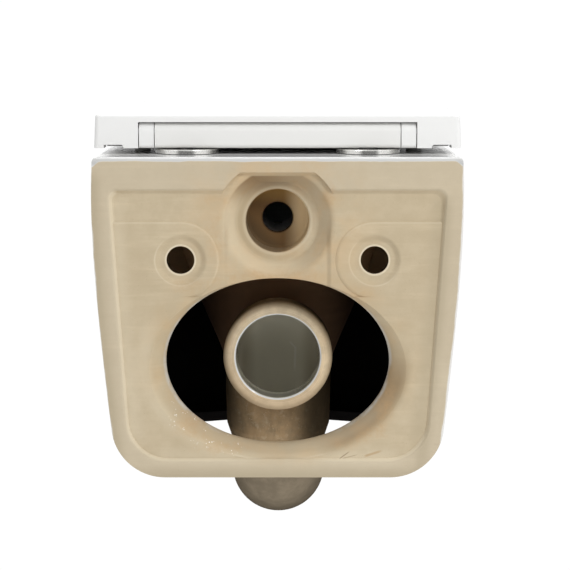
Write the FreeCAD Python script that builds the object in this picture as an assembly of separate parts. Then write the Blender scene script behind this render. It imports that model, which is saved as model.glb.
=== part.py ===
import FreeCAD, Part
import math
import os

os.makedirs("parts", exist_ok=True)
V = FreeCAD.Vector

# Millimetres. Drawn with the wall at y = 0, the pan standing out along +Y and Z up.
# Saved with the origin midway between the wall fixings, on the plane of their seats.

# Pan body
deck_z = 96.0
deck_thick = 18.0
base_z = -204.0
base_tilt = 0.019
china = 10.0
back_thick = 22.0
top_half = 171.4
front_y = 488.0
front_run = 232.0
base_front_y = 362.0
base_corner = 50.0
under_half = 96.0
under_front_y = 312.0
under_front_r = 165.0
edge_round = 5.0
ground_off = 0.05

# Back face: raised border, sunk panel, pads round the wall fixings
border = 15.0
border_top_z = 66.0
panel_bottom_z = -189.0
panel_deep = 5.0
panel_draft = 3.5
panel_lean = 0.067
panel_top_r = 8.0
panel_bottom_r = 40.0
pad_rise = 1.5
pad_half = 38.0
pad_soft = 5.0
fix_x = 90.0
fix_hole_r = 13.0
fix_seat_r = 24.0
fix_seat_deep = 4.0
fix_seat_slope = 5.0
seat_round = 4.0

# Flush inlet
inlet_z = 35.0
dish_r = 51.0
dish_floor_r = 38.0
dish_deep = 25.0
dish_top = 47.0
dish_floor_top = 35.0
mouth_round = 7.0
socket_r = 29.5
socket_end_y = 62.0
jet_r = 14.5
boss_r = 46.0
boss_end_r = 40.0
boss_end_y = 72.0
channel_r = 24.0

# Oval opening round the waste outlet
oval_z = -96.0
oval_a = 104.7
oval_b = 78.5
lip_a = 121.0
lip_b = 87.0
lip_z = -103.0
lip_from_y = 3.0
lip_to_y = 17.0

# Trap and outlet spigot
outlet_z = -100.0
spigot_y = 62.0
spigot_r = 52.5
outlet_bore_r = 40.5
spigot_len = 30.0
elbow_r = 56.0
leg_angle = 82.0
leg_len = 46.0
leg_taper_len = 14.0
leg_draft = 1.0
bend_r = 49.0
bend_pipe_r = 47.0
bend_bore_r = 37.0
spigot_outer_round = 6.0
spigot_inner_round = 2.5

# Bowl
bowl_half = 118.0
bowl_y = 300.0
bowl_len = 158.0
bowl_wall = 10.0
rim_lip = 3.0

# Hinge line of seat and lid
axis_y = 50.5
axis_z = 117.2
run_gap = 0.05
seat_gap = 0.02
side_gap = 0.8

# Hinge bar
bar_half = 115.3
bar_top_r = 8.0
bar_base_z = 101.6
bar_front = 11.5
bar_toe_r = 4.0
bar_bore_r = 6.0
slot_wall = 2.0

# Seat ring
seat_rear_y = 88.0
seat_thick = 18.5
seat_hole_half = 104.0
seat_hole_len = 144.0
seat_edge = 5.0
ear_wide = 13.9
arm_base_z = 104.0

# Lid
lid_half = 172.5
lid_rear_y = 41.0
lid_front_y = 492.0
lid_top_z = 133.2
lid_base_z = 101.7
lid_wall = 5.5
lid_skin = 7.2
lid_edge = 2.5
lid_draft = 1.5
lid_corner = 4.0
lid_clear = 3.0
lug_deep = 25.0
notch_round = 0.6
nick_inset = 9.5
nick_long = 18.5
nick_rise = 3.2

# Hinge hardware
disc_x = 85.5
disc_y = 59.5
disc_r = 30.0
disc_thick = 3.9
gasket_thick = 0.6
gasket_inset = 1.0
post_wide = 16.0
post_y = 67.5
post_deep = 12.5
arm_half = 5.0
knuckle_r = 5.6
shaft_r = 3.0
pin_r = 4.0
pin_out = 145.0
pin_in = 104.0
bolt_x = 77.5
bolt_r = 4.0
bolt_head_r = 7.5
bolt_head_deep = 3.5
bolt_len = 42.0
bolt_hole_r = 7.0
washer_r = 14.0
washer_thick = 2.5
nut_r = 9.0
nut_high = 11.0
wing_span = 19.0
wing_thick = 3.0

# Buffers
buffer_r = 8.0
lid_buffer_r = 6.0
buffer_back_in = 26.0
buffer_back_y = 200.0
buffer_front_in = 52.0
buffer_front_y = 388.0

deck_under = deck_z - deck_thick
seat_z = deck_z + 5.0
seat_top = seat_z + seat_thick
disc_base = deck_z + gasket_thick
disc_top = disc_base + disc_thick
lid_under = lid_top_z - lid_skin
seat_half = lid_half - lid_wall - lid_clear
seat_front_y = lid_front_y - lid_wall - lid_clear
home = V(0, -(panel_deep - pad_rise + fix_seat_deep), 0)
X = V(1, 0, 0)
Y = V(0, 1, 0)
Z = V(0, 0, 1)


def box(x0, x1, y0, y1, z0, z1):
    """Box between two corners."""
    return Part.makeBox(x1 - x0, y1 - y0, z1 - z0, V(x0, y0, z0))


def rod(x0, x1, r, y=axis_y, z=axis_z):
    """Round bar along X, on the hinge line unless told otherwise."""
    low = min(x0, x1)
    return Part.makeCylinder(r, abs(x1 - x0), V(low, y, z), X)


def rounded(points, radii, place):
    """Closed wire of straight sides with a radius at each corner."""
    count = len(points)
    edges = []
    ends = []
    for i in range(count):
        here = V(points[i][0], points[i][1], 0)
        before = V(points[i - 1][0], points[i - 1][1], 0)
        after = V(points[(i + 1) % count][0], points[(i + 1) % count][1], 0)
        a = (before - here).normalize()
        b = (after - here).normalize()
        half = math.acos(max(-1.0, min(1.0, a.dot(b)))) / 2
        run = radii[i] / math.tan(half)
        middle = (a + b).normalize()
        heart = here + middle * (radii[i] / math.sin(half))
        ends.append((here + a * run, heart - middle * radii[i], here + b * run))
    for i in range(count):
        start, top, stop = ends[i]
        if radii[i] > 0:
            edges.append(Part.Arc(place(start), place(top), place(stop)).toShape())
        follow = ends[(i + 1) % count][0]
        if (follow - stop).Length > 1e-6:
            edges.append(Part.makeLine(place(stop), place(follow)))
    return Part.Wire(edges)


def solid_between(wire, way):
    """Solid from a flat closed wire pushed along a vector."""
    return Part.Face(wire).extrude(way)


def plan_points(half, rear, front, run, z, tilt):
    """Points of a D shaped plan: straight sides, full round front."""
    start = front - run
    side = [(half, rear), (half, rear + (start - rear) * 0.5), (half, start)]
    bow = []
    for step in range(1, 6):
        t = math.radians(15 * step)
        bow.append((half * math.cos(t) ** 0.9, start + run * math.sin(t) ** 0.9))
    right = side + bow
    left = [(-x, y) for x, y in reversed(right)]
    return [V(x, y, z - tilt * y) for x, y in right + [(0.0, front)] + left]


def plan_wire(half, rear, front, run, z, tilt=0.0):
    """Closed D wire at one height, straight across the rear."""
    points = plan_points(half, rear, front, run, z, tilt)
    curve = Part.BSplineCurve()
    curve.interpolate(points)
    return Part.Wire([curve.toShape(), Part.makeLine(points[-1], points[0])])


def plan_slab(half, rear, front, run, z0, z1):
    """Upright D shaped slab."""
    return solid_between(plan_wire(half, rear, front, run, z0), V(0, 0, z1 - z0))


def oval_wire(z, half, length, y):
    """Ellipse at one height, long way along Y."""
    curve = Part.Ellipse(V(0, y + length, z), V(half, y, z), V(0, y, z))
    return Part.Wire([curve.toShape()])


def oval_solid(rows):
    """Smooth solid through ellipses stacked in height."""
    return Part.makeLoft([oval_wire(*row) for row in rows], True, False)


def body_rows():
    """Height, half width and front of the pan, from the deck down."""
    return [
        (deck_z, top_half - 1.0, front_y),
        (40.0, top_half, front_y - 7.0),
        (-40.0, top_half - 4.4, front_y - 40.0),
        (-120.0, top_half - 12.0, front_y - 86.0),
        (base_z, top_half - 22.0, base_front_y),
    ]


def size_at(z):
    """Half width and front of the pan at any height."""
    rows = body_rows()
    for upper, lower in zip(rows, rows[1:]):
        if z >= lower[0] - 1e-6:
            share = (upper[0] - z) / (upper[0] - lower[0])
            half = upper[1] + (lower[1] - upper[1]) * share
            return half, upper[2] + (lower[2] - upper[2]) * share
    return rows[-1][1], rows[-1][2]


def pan_form(inset, top, bottom, corner):
    """Pan outside, or the hollow inside it when inset by the wall."""
    middle = [row[0] for row in body_rows()[1:-1]]
    wires = []
    for z in [top] + middle + [bottom]:
        half, front = size_at(z)
        run = min(front_run, half * 1.36) - inset
        tilt = base_tilt * min(0.0, z) / base_z
        wires.append(plan_wire(half - inset, -ground_off, front - inset, run, z, tilt))
    solid = Part.makeLoft(wires, True, False)
    low = [e for e in solid.Edges if e.BoundBox.ZMax < bottom + 1.0 and e.BoundBox.YMax > 1.0]
    return solid.makeFillet(corner, low)


def pan_outside():
    """Outer form of the pan with a rounded deck edge."""
    solid = pan_form(0.0, deck_z, base_z, base_corner)
    top = [e for e in solid.Edges if e.BoundBox.ZMin > deck_z - 0.01]
    return solid.makeFillet(edge_round, top)


def hollow():
    """Space inside the skirt, shut by the deck above."""
    return pan_form(china, deck_under, base_z + china, base_corner - china)


def panel_cut():
    """Sunk panel of the back face with a soft sloping step."""
    wires = []
    for share, grow in ((0.0, -0.3), (0.2, 0.15), (0.8, 0.85), (1.0, 1.3)):
        y = panel_deep * share
        less = panel_draft * grow
        top = top_half - border - less
        drop = border_top_z - panel_bottom_z
        low = top - panel_lean * drop
        z1 = border_top_z - less
        z0 = panel_bottom_z + less
        points = [(top, z1), (-top, z1), (-low, z0), (low, z0)]
        radii = [panel_top_r, panel_top_r, panel_bottom_r - less, panel_bottom_r - less]
        wires.append(rounded(points, radii, lambda p, y=y: V(p.x, y, p.y)))
    return Part.makeLoft(wires, True, False)


def turned(points, radii, x, z):
    """Solid turned about a line along Y from a half section in r and y."""
    wire = rounded(points, radii, lambda p: V(x + p.x, p.y, z))
    return Part.Face(wire).revolve(V(x, 0, z), Y, 360)


def pad(side):
    """Lower part of the panel, raised a little and run round one wall fixing."""
    reach = top_half - border
    y0 = panel_deep - pad_rise
    bar = box(0, reach - fix_x, y0, back_thick, oval_z, pad_half)
    low = box(-fix_x, reach - fix_x, y0, back_thick, panel_bottom_z, -pad_half * 0.9)
    end = Part.makeCylinder(pad_half, back_thick - y0, V(0, y0, 0), Y)
    solid = bar.fuse(end).removeSplitter()
    face = [e for e in solid.Edges if e.BoundBox.YMax < y0 + 0.01]
    upper = [e for e in face if e.BoundBox.ZMax > pad_half - 0.01 and e.BoundBox.ZMin > -pad_half - 0.01]
    upper = [e for e in upper if e.BoundBox.XMin < reach - fix_x - 1.0]
    solid = solid.makeFillet(pad_soft, upper).fuse(low)
    if side < 0:
        solid = solid.mirror(V(0, 0, 0), X)
    solid.translate(V(side * fix_x, 0, 0))
    return solid


def inlet_cut():
    """Funnel, socket and jet of the flush inlet, flat across the top."""
    brim = dish_r + mouth_round
    points = [(0, -1), (brim, -1), (brim, panel_deep), (dish_r, panel_deep), (dish_floor_r, dish_deep),
              (socket_r, dish_deep), (socket_r, socket_end_y), (0, socket_end_y)]
    radii = [0, 0, 0, mouth_round, 4.0, 2.5, 3.0, 0]
    funnel = turned(points, radii, 0, inlet_z)
    lean = math.degrees(math.atan2(dish_top - dish_floor_top, dish_deep))
    cap = box(-100, 100, -50, dish_deep, 0, 100)
    cap.rotate(V(0, 0, 0), X, -lean)
    cap.translate(V(0, 0, inlet_z + dish_top))
    jet = Part.makeCylinder(jet_r, boss_end_y, V(0, 0, inlet_z), Y)
    return funnel.cut(cap).fuse(jet)


def fixing_cut(side):
    """Hole for a wall stud with a sunk round seat."""
    face = panel_deep - pad_rise
    floor = face + fix_seat_deep
    points = [(0, -1), (fix_seat_r + seat_round, -1), (fix_seat_r + seat_round, face), (fix_seat_r, face),
              (fix_seat_r - fix_seat_slope, floor), (fix_hole_r, floor), (fix_hole_r, back_thick), (0, back_thick)]
    radii = [0, 0, 0, seat_round, seat_round, 0, 0, 0]
    return turned(points, radii, side * fix_x, 0)


def ellipse_xz(y, a, b, z):
    """Ellipse facing the wall."""
    curve = Part.Ellipse(V(a, y, z), V(0, y, z + b), V(0, y, z))
    return Part.Wire([curve.toShape()])


def back_wall(body):
    """Wall side of the pan with inlet, fixing holes and oval opening."""
    slab = body.common(box(-300, 300, 0, back_thick, -400, 200))
    sunk = panel_cut()
    for side in (-1, 1):
        sunk = sunk.cut(pad(side))
    slab = slab.cut(sunk)
    boss = Part.makeCone(boss_r, boss_end_r, boss_end_y - back_thick, V(0, back_thick, inlet_z), Y)
    slab = slab.fuse(boss.common(box(-100, 100, 0, 200, -100, deck_under)))
    slab = slab.cut(inlet_cut())
    for side in (-1, 1):
        slab = slab.cut(fixing_cut(side))
    slab = slab.cut(solid_between(ellipse_xz(0.0, oval_a, oval_b, oval_z), V(0, back_thick, 0)))
    flare = []
    for share, grow in ((0.0, 1.0), (0.2, 0.62), (0.55, 0.2), (1.0, 0.0)):
        y = lip_from_y + (lip_to_y - lip_from_y) * share
        a = oval_a + (lip_a - oval_a) * grow
        b = oval_b + (lip_b - oval_b) * grow
        flare.append(ellipse_xz(y, a, b, oval_z + (lip_z - oval_z) * grow))
    return slab.cut(Part.makeLoft(flare, True, False)).removeSplitter()


def skirt(body):
    """Outer wall of the pan, open beneath where the trap hangs out."""
    shell = body.cut(hollow())
    shell = shell.common(box(-300, 300, back_thick, 700, -400, deck_under))
    middle = under_front_y - under_front_r
    way = Part.makeCylinder(under_front_r, 120.0, V(0, middle, base_z - 60.0))
    way = way.fuse(box(-under_front_r, under_front_r, back_thick, middle, base_z - 60.0, base_z + 60.0))
    way = way.common(box(-under_half, under_half, back_thick, 700, base_z - 60.0, base_z + 60.0))
    return shell.cut(way)


def bowl_rows(less):
    """Ellipses of the bowl from the rim to the sump."""
    foot_y = bend_heart()[0] + bend_r
    foot_z = bend_heart()[1]
    return [
        (deck_under, bowl_half - less, bowl_len - less, bowl_y),
        (20.0, bowl_half - 6.0 - less, bowl_len - 8.0 - less, bowl_y - 2.0),
        (-50.0, bowl_half - 26.0 - less, bowl_len - 36.0 - less, bowl_y - 15.0),
        (-110.0, bowl_half - 52.0 - less, bowl_len - 74.0 - less, bowl_y - 30.0),
        (-150.0, bend_pipe_r + 4.0 - less, bend_pipe_r + 9.0 - less, foot_y + 5.0),
        (foot_z, bend_pipe_r - less, bend_pipe_r - less, foot_y),
    ]


def elbow_heart():
    """Middle of the bend behind the outlet."""
    return spigot_y + spigot_len, outlet_z - elbow_r


def leg_start():
    """Where the rising leg meets that bend."""
    y, z = elbow_heart()
    t = math.radians(leg_angle)
    return y + elbow_r * math.sin(t), z + elbow_r * math.cos(t)


def leg_stop():
    """Lower end of the rising leg."""
    y, z = leg_start()
    t = math.radians(leg_angle)
    return y + leg_len * math.cos(t), z - leg_len * math.sin(t)


def bend_heart():
    """Middle of the U bend."""
    y, z = leg_stop()
    t = math.radians(leg_angle)
    return y + bend_r * math.sin(t), z + bend_r * math.cos(t)


def pipe(r_out, r_low):
    """Solid run of the waste way: spigot, elbow, leg and U bend."""
    ey, ez = elbow_heart()
    sy, sz = leg_start()
    py, pz = leg_stop()
    by, bz = bend_heart()
    t = math.radians(leg_angle)
    spigot = Part.makeCylinder(r_out, spigot_len, V(0, spigot_y, outlet_z), Y)
    ring = Part.Face(Part.Wire([Part.makeCircle(r_out, V(0, ey, outlet_z), Y)]))
    elbow = ring.revolve(V(0, ey, ez), X, -leg_angle)
    down = V(0, math.cos(t), -math.sin(t))
    straight = leg_len - leg_taper_len
    leg = Part.makeCone(r_out, r_out - leg_draft, straight, V(0, sy, sz), down)
    taper = Part.makeCone(r_out - leg_draft, r_low, leg_taper_len, V(0, sy, sz) + down * straight, down)
    foot = Part.Face(Part.Wire([Part.makeCircle(r_low, V(0, by + bend_r, bz), Z)]))
    bend = foot.revolve(V(0, by, bz), X, -(90.0 + leg_angle))
    return spigot.fuse([elbow, leg, taper, bend])


def trap(bowl_outside):
    """Waste way from the sump to the spigot."""
    outside = pipe(spigot_r, bend_pipe_r).cut(bowl_outside)
    solid = outside.cut(pipe(outlet_bore_r, bend_bore_r))
    rims = [e for e in solid.Edges if e.BoundBox.YMax < spigot_y + 0.01]
    outer = [e for e in rims if e.BoundBox.XMax > outlet_bore_r + 1.0]
    inner = [e for e in rims if e.BoundBox.XMax < outlet_bore_r + 1.0]
    solid = solid.makeFillet(spigot_outer_round, outer)
    rims = [e for e in solid.Edges if e.BoundBox.YMax < spigot_y + 0.01]
    inner = [e for e in rims if e.BoundBox.XMax < outlet_bore_r + 1.0]
    return solid.makeFillet(spigot_inner_round, inner)


def rim_deck(body):
    """Seat deck and bowl rim on top of the pan."""
    ring = body.common(box(-300, 300, back_thick, 700, deck_under, 200))
    less = bowl_wall
    rows = [
        (deck_under, bowl_half - less, bowl_len - less, bowl_y),
        (deck_z, bowl_half - less - rim_lip, bowl_len - less - rim_lip, bowl_y),
    ]
    ring = ring.cut(oval_solid(rows))
    for side in (-1, 1):
        ring = ring.cut(Part.makeCylinder(bolt_hole_r, 200, V(side * bolt_x, disc_y, 0)))
    lips = [e for e in ring.Edges if e.BoundBox.ZMin > deck_z - 0.01 and abs(e.BoundBox.XMax) < bowl_half
            and e.BoundBox.YMin > disc_y + disc_r]
    return ring.makeFillet(4.0, lips)


def bar_wire(x):
    """Section of the hinge bar: round over the hinge line, flat below."""
    rear = axis_y - bar_top_r
    front = axis_y + bar_front
    top = axis_z + bar_top_r
    points = [(rear, bar_base_z), (front, bar_base_z), (front, top), (rear, top)]
    radii = [bar_toe_r, bar_toe_r * 0.5, bar_toe_r * 0.5, bar_top_r]
    return rounded(points, radii, lambda p: V(x, p.x, p.y))


def hinge_bar():
    """Bar between the seat ears, cleared for the two posts."""
    solid = solid_between(bar_wire(-bar_half), V(2 * bar_half, 0, 0))
    inner = bar_top_r - slot_wall
    for side in (-1, 1):
        x0 = side * disc_x - post_wide / 2 - 1.0
        x1 = side * disc_x + post_wide / 2 + 1.0
        solid = solid.cut(box(x0, x1, axis_y, axis_y + 50, axis_z - 50, axis_z + inner))
        solid = solid.cut(box(x0, x1, axis_y - inner, axis_y, axis_z - 50, axis_z))
        solid = solid.cut(rod(x0, x1, inner))
    solid = solid.cut(rod(-bar_half, -damper_in(), bar_bore_r))
    return solid.cut(rod(bush_in(), bar_half, bar_bore_r))


def damper_in():
    """Inner end of the seat damper."""
    return disc_x - post_wide / 2 - 42.0


def bush_in():
    """Inner end of the right hand bush."""
    return disc_x - post_wide / 2 - 18.0


def bearing(x0, x1):
    """Plug in the bar bore, bored for the post shaft."""
    solid = rod(x0, x1, bar_bore_r - seat_gap)
    return solid


def seat_damper():
    """Damper in the left of the bar, on the left post shaft."""
    near = disc_x - post_wide / 2 - 1.5
    solid = bearing(-near, -damper_in())
    return solid.cut(rod(-near, -damper_in() - 3.0, shaft_r + run_gap))


def inner_bush():
    """Bush on the inner end of the right post shaft."""
    near = disc_x - post_wide / 2 - 1.5
    solid = bearing(bush_in(), near)
    return solid.cut(rod(bush_in() + 2.0, near, shaft_r + run_gap))


def end_plug(side):
    """Plug in a bar end that takes the post shaft and the lid pin."""
    near = disc_x + post_wide / 2 + 1.5
    solid = bearing(side * near, side * bar_half)
    solid = solid.cut(rod(side * near, side * (shaft_out() + side_gap), shaft_r + run_gap))
    return solid.cut(rod(side * (pin_in - side_gap), side * bar_half, pin_r + run_gap))


def shaft_out():
    """Outer end of the post shafts."""
    return disc_x + post_wide / 2 + 6.5


def post_shaft(side):
    """Shaft held in a post knuckle, on which the bar turns."""
    inner = damper_in() + 3.5 if side < 0 else bush_in() + 2.5
    return rod(side * inner, side * shaft_out(), shaft_r)


def hinge_post(side):
    """Post on the disc: upright, arm to the rear and knuckle."""
    x0 = side * disc_x - post_wide / 2
    top = axis_z + arm_half
    front = post_y + post_deep
    points = [(front, disc_top), (front, top), (axis_y, top), (axis_y, axis_z - arm_half),
              (post_y, axis_z - arm_half), (post_y, disc_top)]
    radii = [0.0, 6.0, 0.0, 0.0, 2.0, 0.0]
    wire = rounded(points, radii, lambda p: V(x0, p.x, p.y))
    solid = solid_between(wire, V(post_wide, 0, 0))
    solid = solid.fuse(rod(x0, x0 + post_wide, knuckle_r))
    return solid.cut(rod(x0, x0 + post_wide, shaft_r + seat_gap))


def base_disc(side):
    """Metal disc under a post with a sunk hole for the bolt."""
    solid = Part.makeCylinder(disc_r, disc_thick, V(side * disc_x, disc_y, disc_base))
    crown = [e for e in solid.Edges if e.BoundBox.ZMin > disc_top - 0.01]
    solid = solid.makeChamfer(0.8, crown)
    at = V(side * bolt_x, disc_y, disc_base)
    solid = solid.cut(Part.makeCylinder(bolt_r + 0.3, disc_thick, at))
    return solid.cut(bolt_cone(side, 0.02))


def bolt_cone(side, gap):
    """Sunk head of a seat bolt."""
    low = V(side * bolt_x, disc_y, disc_top - bolt_head_deep)
    return Part.makeCone(bolt_r + gap, bolt_head_r + gap, bolt_head_deep, low)


def gasket(side):
    """Thin rubber ring between a disc and the deck."""
    at = V(side * disc_x, disc_y, deck_z)
    solid = Part.makeCylinder(disc_r - gasket_inset, gasket_thick, at)
    return solid.cut(Part.makeCylinder(bolt_hole_r, gasket_thick, V(side * bolt_x, disc_y, deck_z)))


def seat_bolt(side):
    """Bolt from a disc down through the deck."""
    head = bolt_cone(side, 0.0)
    low = disc_top - bolt_head_deep - bolt_len
    stem = Part.makeCylinder(bolt_r, bolt_len, V(side * bolt_x, disc_y, low))
    cross = box(-4.0, 4.0, -0.6, 0.6, -1.5, 0.0)
    cross.translate(V(side * bolt_x, disc_y, disc_top))
    return head.fuse(stem).cut(cross)


def washer(side):
    """Soft washer under the deck."""
    at = V(side * bolt_x, disc_y, deck_under - washer_thick)
    solid = Part.makeCylinder(washer_r, washer_thick, at)
    return solid.cut(Part.makeCylinder(bolt_r + 0.3, washer_thick, at))


def wing_nut(side):
    """Wing nut that pulls the bolt down."""
    top = deck_under - washer_thick
    low = top - nut_high
    at = V(side * bolt_x, disc_y, low)
    solid = Part.makeCone(nut_r * 0.8, nut_r, nut_high, at)
    for way in (-1, 1):
        points = [(way * nut_r * 0.4, low + 2.0), (way * wing_span, low - 4.0),
                  (way * wing_span, low + 5.0), (way * nut_r * 0.4, top - 2.0)]
        wire = rounded(points, [0.0, 3.0, 3.0, 0.0], lambda p: V(p.x, -wing_thick / 2, p.y))
        wing = solid_between(wire, V(0, wing_thick, 0))
        wing.translate(V(side * bolt_x, disc_y, 0))
        solid = solid.fuse(wing)
    return solid.cut(Part.makeCylinder(bolt_r + seat_gap, 60, V(side * bolt_x, disc_y, low - 20)))


def seat_ring():
    """Seat with an ear at each end of the hinge bar."""
    run = front_run - 10.0
    solid = plan_slab(seat_half, seat_rear_y, seat_front_y, run, seat_z, seat_top)
    hole = solid_between(oval_wire(seat_z, seat_hole_half, seat_hole_len, bowl_y), V(0, 0, seat_thick))
    solid = solid.cut(hole)
    rims = [e for e in solid.Edges if e.BoundBox.ZMin > seat_top - 0.01 and e.BoundBox.YMax > seat_rear_y + 1.0]
    solid = solid.makeFillet(seat_edge, rims)
    for side in (-1, 1):
        x0 = bar_half + side_gap
        ear = solid_between(bar_wire(x0), V(ear_wide, 0, 0))
        arm = box(x0, x0 + ear_wide, axis_y + 4.0, seat_rear_y + 20.0, arm_base_z, seat_top - 1.5)
        ear = ear.fuse(arm)
        if side < 0:
            ear = ear.mirror(V(0, 0, 0), X)
        solid = solid.fuse(ear)
        solid = solid.cut(rod(side * bar_half, side * (x0 + ear_wide), pin_r + run_gap))
    return solid.removeSplitter()


def lid():
    """Wrap over lid with a cut-out behind for ears and bar."""
    run = front_run + 2.0
    low = plan_wire(lid_half, lid_rear_y, lid_front_y, run, lid_base_z)
    high = plan_wire(lid_half - lid_draft, lid_rear_y, lid_front_y - lid_draft, run, lid_top_z)
    solid = Part.makeLoft([low, high], True, True)
    uprights = [e for e in solid.Edges if e.BoundBox.ZMax - e.BoundBox.ZMin > 1.0]
    solid = solid.makeFillet(lid_corner, uprights)
    crown = [e for e in solid.Edges if e.BoundBox.ZMin > lid_top_z - 0.01]
    solid = solid.makeFillet(lid_edge, crown)
    half = lid_half - lid_draft - lid_wall
    rear = lid_rear_y + lid_wall
    inside = plan_slab(half, rear, lid_front_y - lid_wall, run - lid_wall, lid_base_z, lid_under)
    notch = bar_half + side_gap + ear_wide + side_gap
    for side in (-1, 1):
        x0, x1 = sorted((side * notch, side * lid_half))
        inside = inside.cut(box(x0, x1, 0, lid_rear_y + lug_deep, 0, 200))
    solid = solid.cut(inside)
    points = [(-notch, 0.0), (notch, 0.0), (notch, lid_under), (-notch, lid_under)]
    wire = rounded(points, [0.0, 0.0, notch_round, notch_round], lambda p: V(p.x, lid_rear_y - 5.0, p.y))
    solid = solid.cut(solid_between(wire, V(0, lug_deep + 5.0, 0)))
    for side in (-1, 1):
        nick_out = lid_half - nick_inset
        x0, x1 = sorted((side * (nick_out - nick_long), side * nick_out))
        top = lid_base_z + nick_rise
        corners = [(x0, 0.0), (x1, 0.0), (x1, top), (x0, top)]
        turn = [0.0, 0.0, 1.0, 2.8] if side > 0 else [0.0, 0.0, 2.8, 1.0]
        wire = rounded(corners, turn, lambda p: V(p.x, 0.0, p.y))
        solid = solid.cut(solid_between(wire, V(0, lid_rear_y + lug_deep, 0)))
        solid = solid.cut(rod(side * notch, side * (pin_out + seat_gap), pin_r + seat_gap))
    return solid


def lid_pin(side):
    """Pin from a lid lug through the ear into the bar."""
    return rod(side * pin_in, side * pin_out, pin_r)


def stub(spot, r, z0, z1):
    """Rubber buffer with a rounded foot edge."""
    solid = Part.makeCylinder(r, z1 - z0, V(spot[0], spot[1], z0))
    foot = [e for e in solid.Edges if e.BoundBox.ZMax < z0 + 0.01]
    return solid.makeFillet(1.2, foot)


def spots():
    """Buffer places on the seat, left and right."""
    places = []
    for side in (-1, 1):
        places.append((side * (seat_half - buffer_back_in), buffer_back_y))
        places.append((side * (seat_half - buffer_front_in), buffer_front_y))
    return places


def flush_channel(bowl_outside):
    """Pipe from the inlet boss to the back of the bowl."""
    reach = bowl_y - boss_end_y
    solid = Part.makeCylinder(channel_r, reach, V(0, boss_end_y, inlet_z), Y).cut(bowl_outside)
    solid = solid.common(box(-100, 100, 0, bowl_y - bowl_len * 0.8, -400, 400))
    return solid.cut(Part.makeCylinder(jet_r, reach, V(0, boss_end_y, inlet_z), Y))


def bowl(bowl_outside):
    """Bowl wall, open to the flush jet and to the trap."""
    solid = bowl_outside.cut(oval_solid(bowl_rows(bowl_wall)))
    jet = Part.makeCylinder(jet_r, bowl_y - boss_end_y, V(0, boss_end_y, inlet_z), Y)
    return solid.cut(jet)


def save(name, solids):
    """Write one node, either one solid or a group of alike solids."""
    shape = solids[0] if len(solids) == 1 else Part.makeCompound(solids)
    shape.translate(home)
    shape.exportStep("parts/" + name + ".step")
    print(name, len(shape.Solids), round(shape.Volume / 1000.0, 2), shape.isValid())


both = (-1, 1)
body = pan_outside()
bowl_outside = oval_solid(bowl_rows(0.0))
save("pan_back_wall", [back_wall(body)])
save("pan_skirt", [skirt(body)])
save("pan_rim_deck", [rim_deck(body)])
save("pan_bowl", [bowl(bowl_outside)])
save("pan_trap", [trap(bowl_outside)])
save("pan_flush_channel", [flush_channel(bowl_outside)])
save("hinge_base_discs", [base_disc(s) for s in both])
save("hinge_disc_gaskets", [gasket(s) for s in both])
save("hinge_posts", [hinge_post(s) for s in both])
save("hinge_post_shafts", [post_shaft(s) for s in both])
save("seat_bolts", [seat_bolt(s) for s in both])
save("seat_bolt_washers", [washer(s) for s in both])
save("seat_wing_nuts", [wing_nut(s) for s in both])
save("seat_ring", [seat_ring()])
save("hinge_bar", [hinge_bar()])
save("seat_damper", [seat_damper()])
save("bar_inner_bush", [inner_bush()])
save("bar_end_bush", [end_plug(-1)])
save("lid_damper", [end_plug(1)])
save("seat_buffers", [stub(p, buffer_r, deck_z, seat_z) for p in spots()])
save("lid", [lid()])
save("lid_pins", [lid_pin(s) for s in both])
save("lid_buffers", [stub(p, lid_buffer_r, seat_top, lid_under) for p in spots()])
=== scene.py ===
import logging
import math
from dataclasses import dataclass, field, replace
from enum import Enum
from functools import cached_property
from typing import Dict, List, Optional, Tuple, Union

import bpy
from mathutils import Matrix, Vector

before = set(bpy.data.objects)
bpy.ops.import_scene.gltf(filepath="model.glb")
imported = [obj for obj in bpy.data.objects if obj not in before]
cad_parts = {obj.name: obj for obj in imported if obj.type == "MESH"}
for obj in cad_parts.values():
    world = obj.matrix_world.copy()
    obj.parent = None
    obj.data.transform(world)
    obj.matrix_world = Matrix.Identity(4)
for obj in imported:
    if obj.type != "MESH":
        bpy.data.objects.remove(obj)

LOG = logging.getLogger("wall_hung_toilet")
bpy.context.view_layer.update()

SPIGOT_Z, SPIGOT_END = -0.10, 0.0570
BORE_EDGE = (0.0417, 0.0421)
ELBOW_Y, ELBOW_Z, ELBOW_R = 0.0845, -0.156, 0.056
LEG_Y, LEG_Z = 0.1400, -0.1482
LEG_TURN = math.radians(82.0)
BEND_Y, BEND_Z, BEND_R = 0.1949, -0.1870, 0.049
BEND_TOP = -0.1938
BEND_MIDDLE = -0.224
INLET_Z, SOCKET_R, CHANNEL_R = 0.035, 0.0295, 0.0200
DISH_R = 0.10
FIXING_X = 0.090
DISC_X = 0.0855
OVAL_Z, OVAL_HALF, OVAL_HIGH = -0.096, 0.1047, 0.0785
BOWL_Y = 0.2675
HOLLOW_FALL = 0.127
PAN_HALF = 0.1714
PAN_TAPER = ((0.04, -0.04, 0.0044), (-0.04, -0.12, 0.0076), (-0.12, -0.204, 0.0100))

Colour = Tuple[float, float, float]
Point = Tuple[float, float]
Place = Tuple[float, float, float]
Socket = bpy.types.NodeSocket
Value = Union[Socket, float]
Tone = Union[Socket, Colour]


class Section(Enum):
    """Sections of the fired pan, each with its own share of glaze."""

    BACK = "pan_back_wall"
    SKIRT = "pan_skirt"
    RIM = "pan_rim_deck"
    BOWL = "pan_bowl"
    TRAP = "pan_trap"
    CHANNEL = "pan_flush_channel"


def shade(colour: Colour, gain: float) -> Colour:
    """Same colour, darker or lighter by a gain."""
    return tuple(min(1.0, part * gain) for part in colour)


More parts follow.
